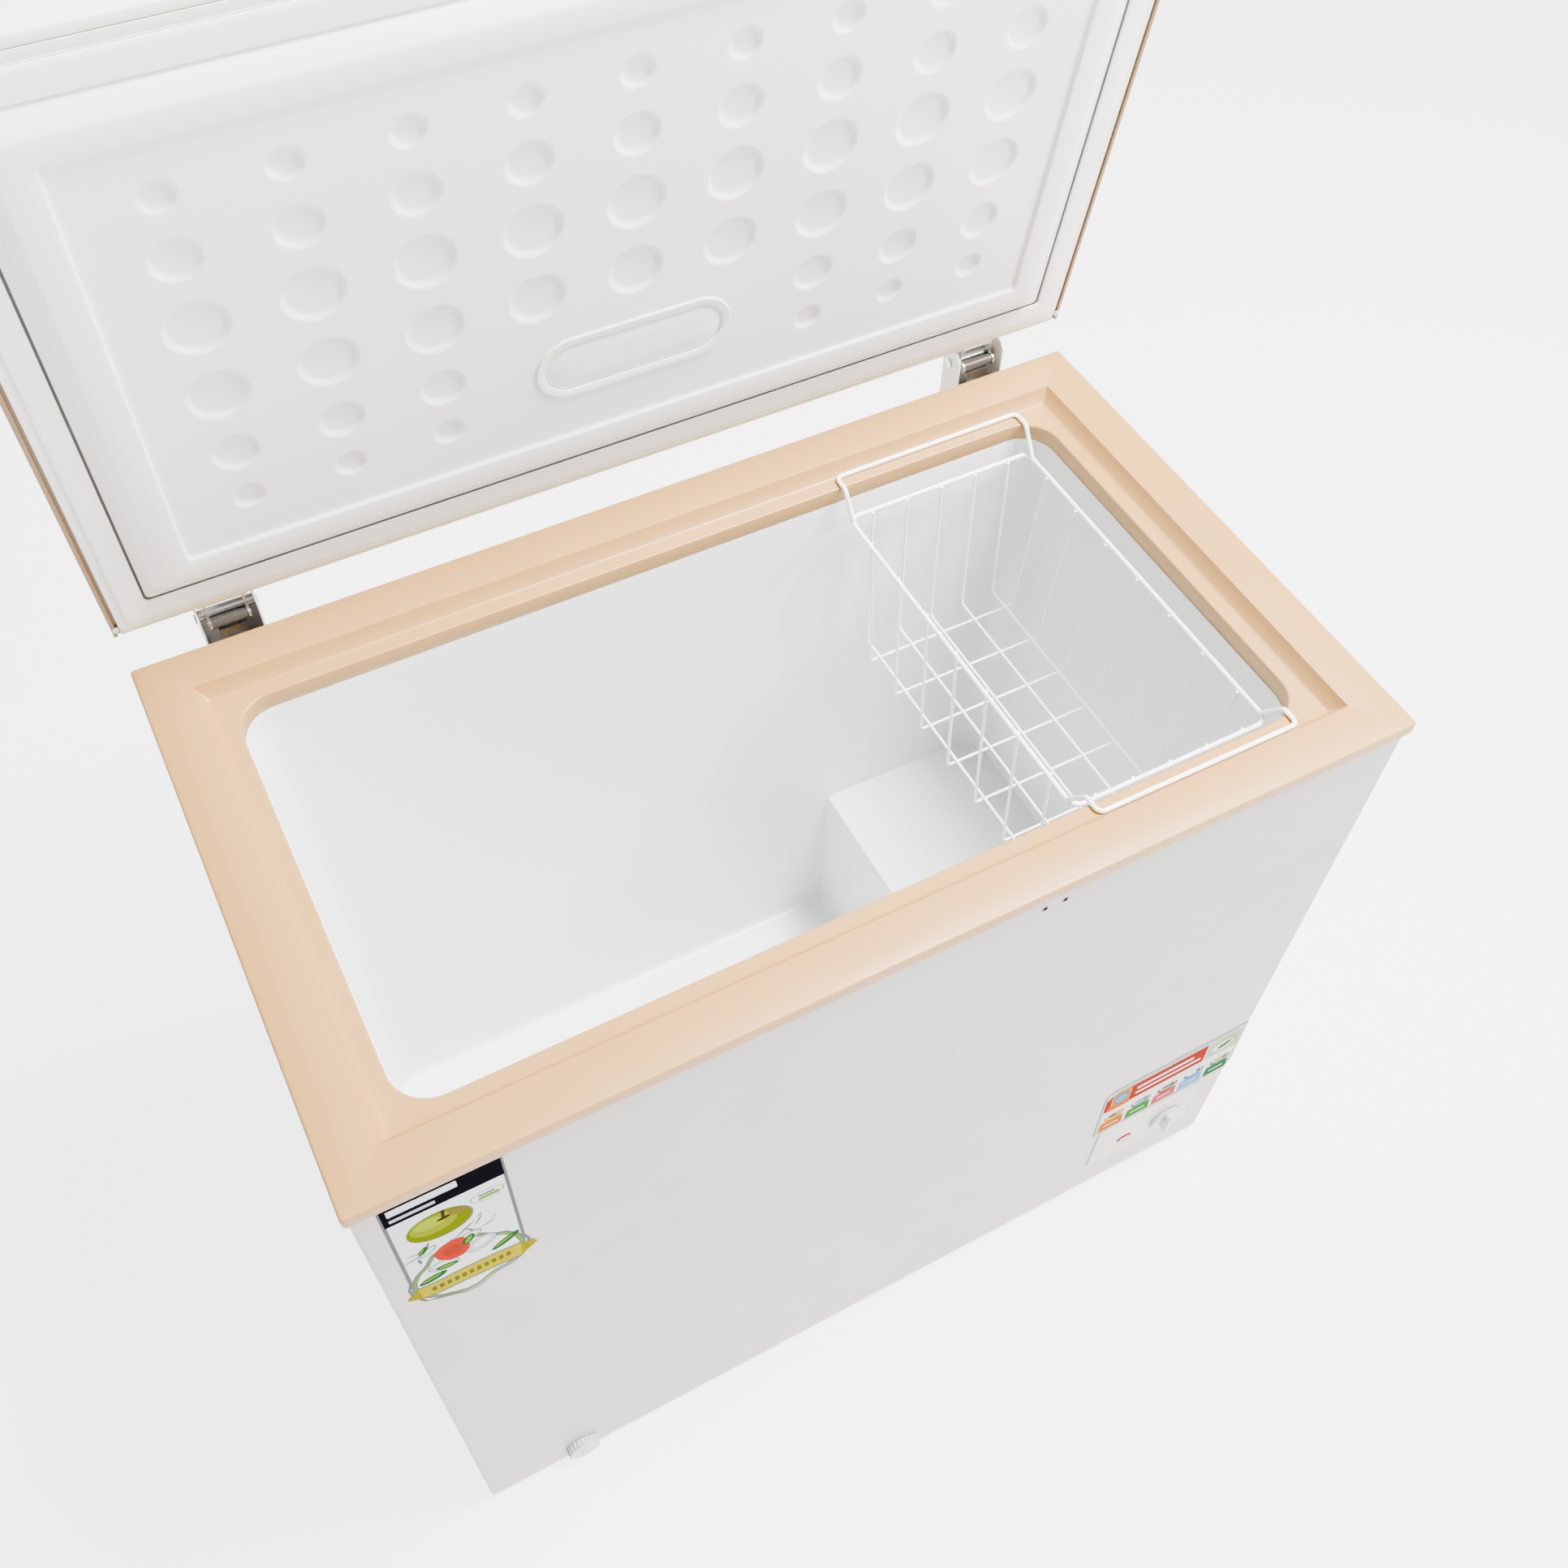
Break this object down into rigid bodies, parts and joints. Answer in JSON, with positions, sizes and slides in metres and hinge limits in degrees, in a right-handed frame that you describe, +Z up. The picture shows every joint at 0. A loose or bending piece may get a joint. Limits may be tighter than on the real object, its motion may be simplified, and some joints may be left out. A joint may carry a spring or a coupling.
{
  "type": "chest freezer",
  "caption": "Chest freezer with a hinged insulated lid held open on sprung hinges, a deep stepped tub, a tan collar and a hanging wire basket.",
  "frame": {"origin": "centre of the overall footprint on the floor, with the lid open as drawn", "axes": "+Z up; the front faces -Y; +X is to the right seen from the front"},
  "size_m": [0.945, 0.5987, 1.3908],
  "materials": {
    "painted_sheet": "semi-gloss grey-white paint on sheet steel",
    "zinc_sheet": "plain zinc-coated sheet",
    "foam": "rigid insulating foam",
    "tub_aluminium": "painted aluminium lining, satin white",
    "tan_plastic": "satin tan plastic",
    "black_plastic": "matt black plastic",
    "zinc_steel": "zinc-plated steel",
    "aluminium_tube": "drawn aluminium tube",
    "copper_tube": "dull copper tube",
    "compressor_black": "black enamel",
    "black_rubber": "matt black rubber",
    "panel_white": "satin white plastic",
    "knob_white": "satin white plastic",
    "red_lens": "clear red plastic",
    "white_plastic": "satin white plastic",
    "sticker_film": "printed plastic film",
    "white_steel": "white enamel on steel",
    "spring_steel": "oiled spring steel",
    "sleeve_plastic": "greased dark plastic",
    "lining_plastic": "satin white polystyrene",
    "gasket_vinyl": "soft white vinyl",
    "rim_plastic": "satin grey-white plastic",
    "lamp_lens": "frosted lavender-white plastic",
    "coated_wire": "white coating on steel wire"
  },
  "bodies": {
    "cabinet": {"outer_shell": "painted_sheet", "rear_panel": "painted_sheet", "base_plate": "zinc_sheet", "cabinet_foam": "foam", "tub": "tub_aluminium", "collar": "tan_plastic", "feet": "black_plastic", "foot_screws": "zinc_steel", "evaporator_tube": "aluminium_tube", "condenser_tube": "copper_tube", "bay_wall": "zinc_sheet", "bay_cover": "painted_sheet", "bay_cover_screws": "zinc_steel", "cord_gland": "black_plastic", "compressor": "compressor_black", "compressor_plate": "compressor_black", "compressor_tray": "zinc_sheet", "compressor_grommets": "black_rubber", "compressor_bolts": "zinc_steel", "relay_cover": "black_plastic", "filter_drier": "copper_tube", "bay_pipes": "copper_tube", "control_panel": "panel_white", "panel_screws": "zinc_steel", "thermostat_body": "zinc_sheet", "indicator_lens": "red_lens", "indicator_holder": "black_plastic", "drain_tube": "white_plastic", "feature_sticker": "sticker_film", "front_sticker": "sticker_film", "hinge_housing_left": "white_steel", "hinge_housing_right": "white_steel", "hinge_housing_screws": "zinc_steel", "hinge_pins": "zinc_steel", "spring_left": "spring_steel", "spring_right": "spring_steel"},
    "lid": {"lid_arm_left": "zinc_steel", "lid_arm_right": "zinc_steel", "lid_arm_screws": "zinc_steel", "lever_pins": "zinc_steel", "lever_sleeves": "sleeve_plastic", "lid_pan": "painted_sheet", "lid_foam": "foam", "lid_lining": "lining_plastic", "lid_gasket": "gasket_vinyl", "lid_front_rim": "rim_plastic", "lid_trim_left": "tan_plastic", "lid_trim_right": "tan_plastic", "lamp_bezel": "white_plastic", "lamp_lens": "lamp_lens"},
    "basket": {"basket_rim": "coated_wire", "basket_grips": "coated_wire", "basket_long_wires": "coated_wire", "basket_cross_wires": "coated_wire"},
    "knob": {"thermostat_knob": "knob_white", "thermostat_shaft": "zinc_steel"},
    "drain_cap": {"drain_cap": "white_plastic"},
    "drain_plug": {"drain_plug": "white_plastic"},
    "seat_left": {"spring_seat_left": "zinc_steel"},
    "seat_right": {"spring_seat_right": "zinc_steel"}
  },
  "joints": [
    {"name": "lid_hinge", "type": "hinge", "parent": "cabinet", "child": "lid", "pos_m": [0, 0.277, 0.8273], "axis": [-1, 0, 0], "range_deg": [-81.53, 3.5]},
    {"name": "basket_slide", "type": "slide", "parent": "cabinet", "child": "basket", "axis": [1, 0, 0], "range_m": [-0.57, 0]},
    {"name": "knob_turn", "type": "hinge", "parent": "cabinet", "child": "knob", "pos_m": [0.3943, -0.2862, 0.1098], "axis": [0, 1, 0], "range_deg": [0, 280]},
    {"name": "drain_cap_turn", "type": "hinge", "parent": "cabinet", "child": "drain_cap", "pos_m": [-0.362, -0.2862, 0.0345], "axis": [0, -1, 0], "range_deg": [0, 90]},
    {"name": "drain_plug_lift", "type": "slide", "parent": "cabinet", "child": "drain_plug", "axis": [0, 0, 1], "range_m": [0, 0.014]},
    {"name": "seat_left_slide", "type": "slide", "parent": "cabinet", "child": "seat_left", "axis": [0, 0, 1], "range_m": [-0.008, 0.0006], "deforming": ["spring_left"]},
    {"name": "seat_right_slide", "type": "slide", "parent": "cabinet", "child": "seat_right", "axis": [0, 0, 1], "range_m": [-0.008, 0.0006], "deforming": ["spring_right"]}
  ],
  "couplings": [
    {"joint": "seat_left_slide", "follows": "lid_hinge", "m_per_rad": 0.0054},
    {"joint": "seat_right_slide", "follows": "lid_hinge", "m_per_rad": 0.0054}
  ]
}
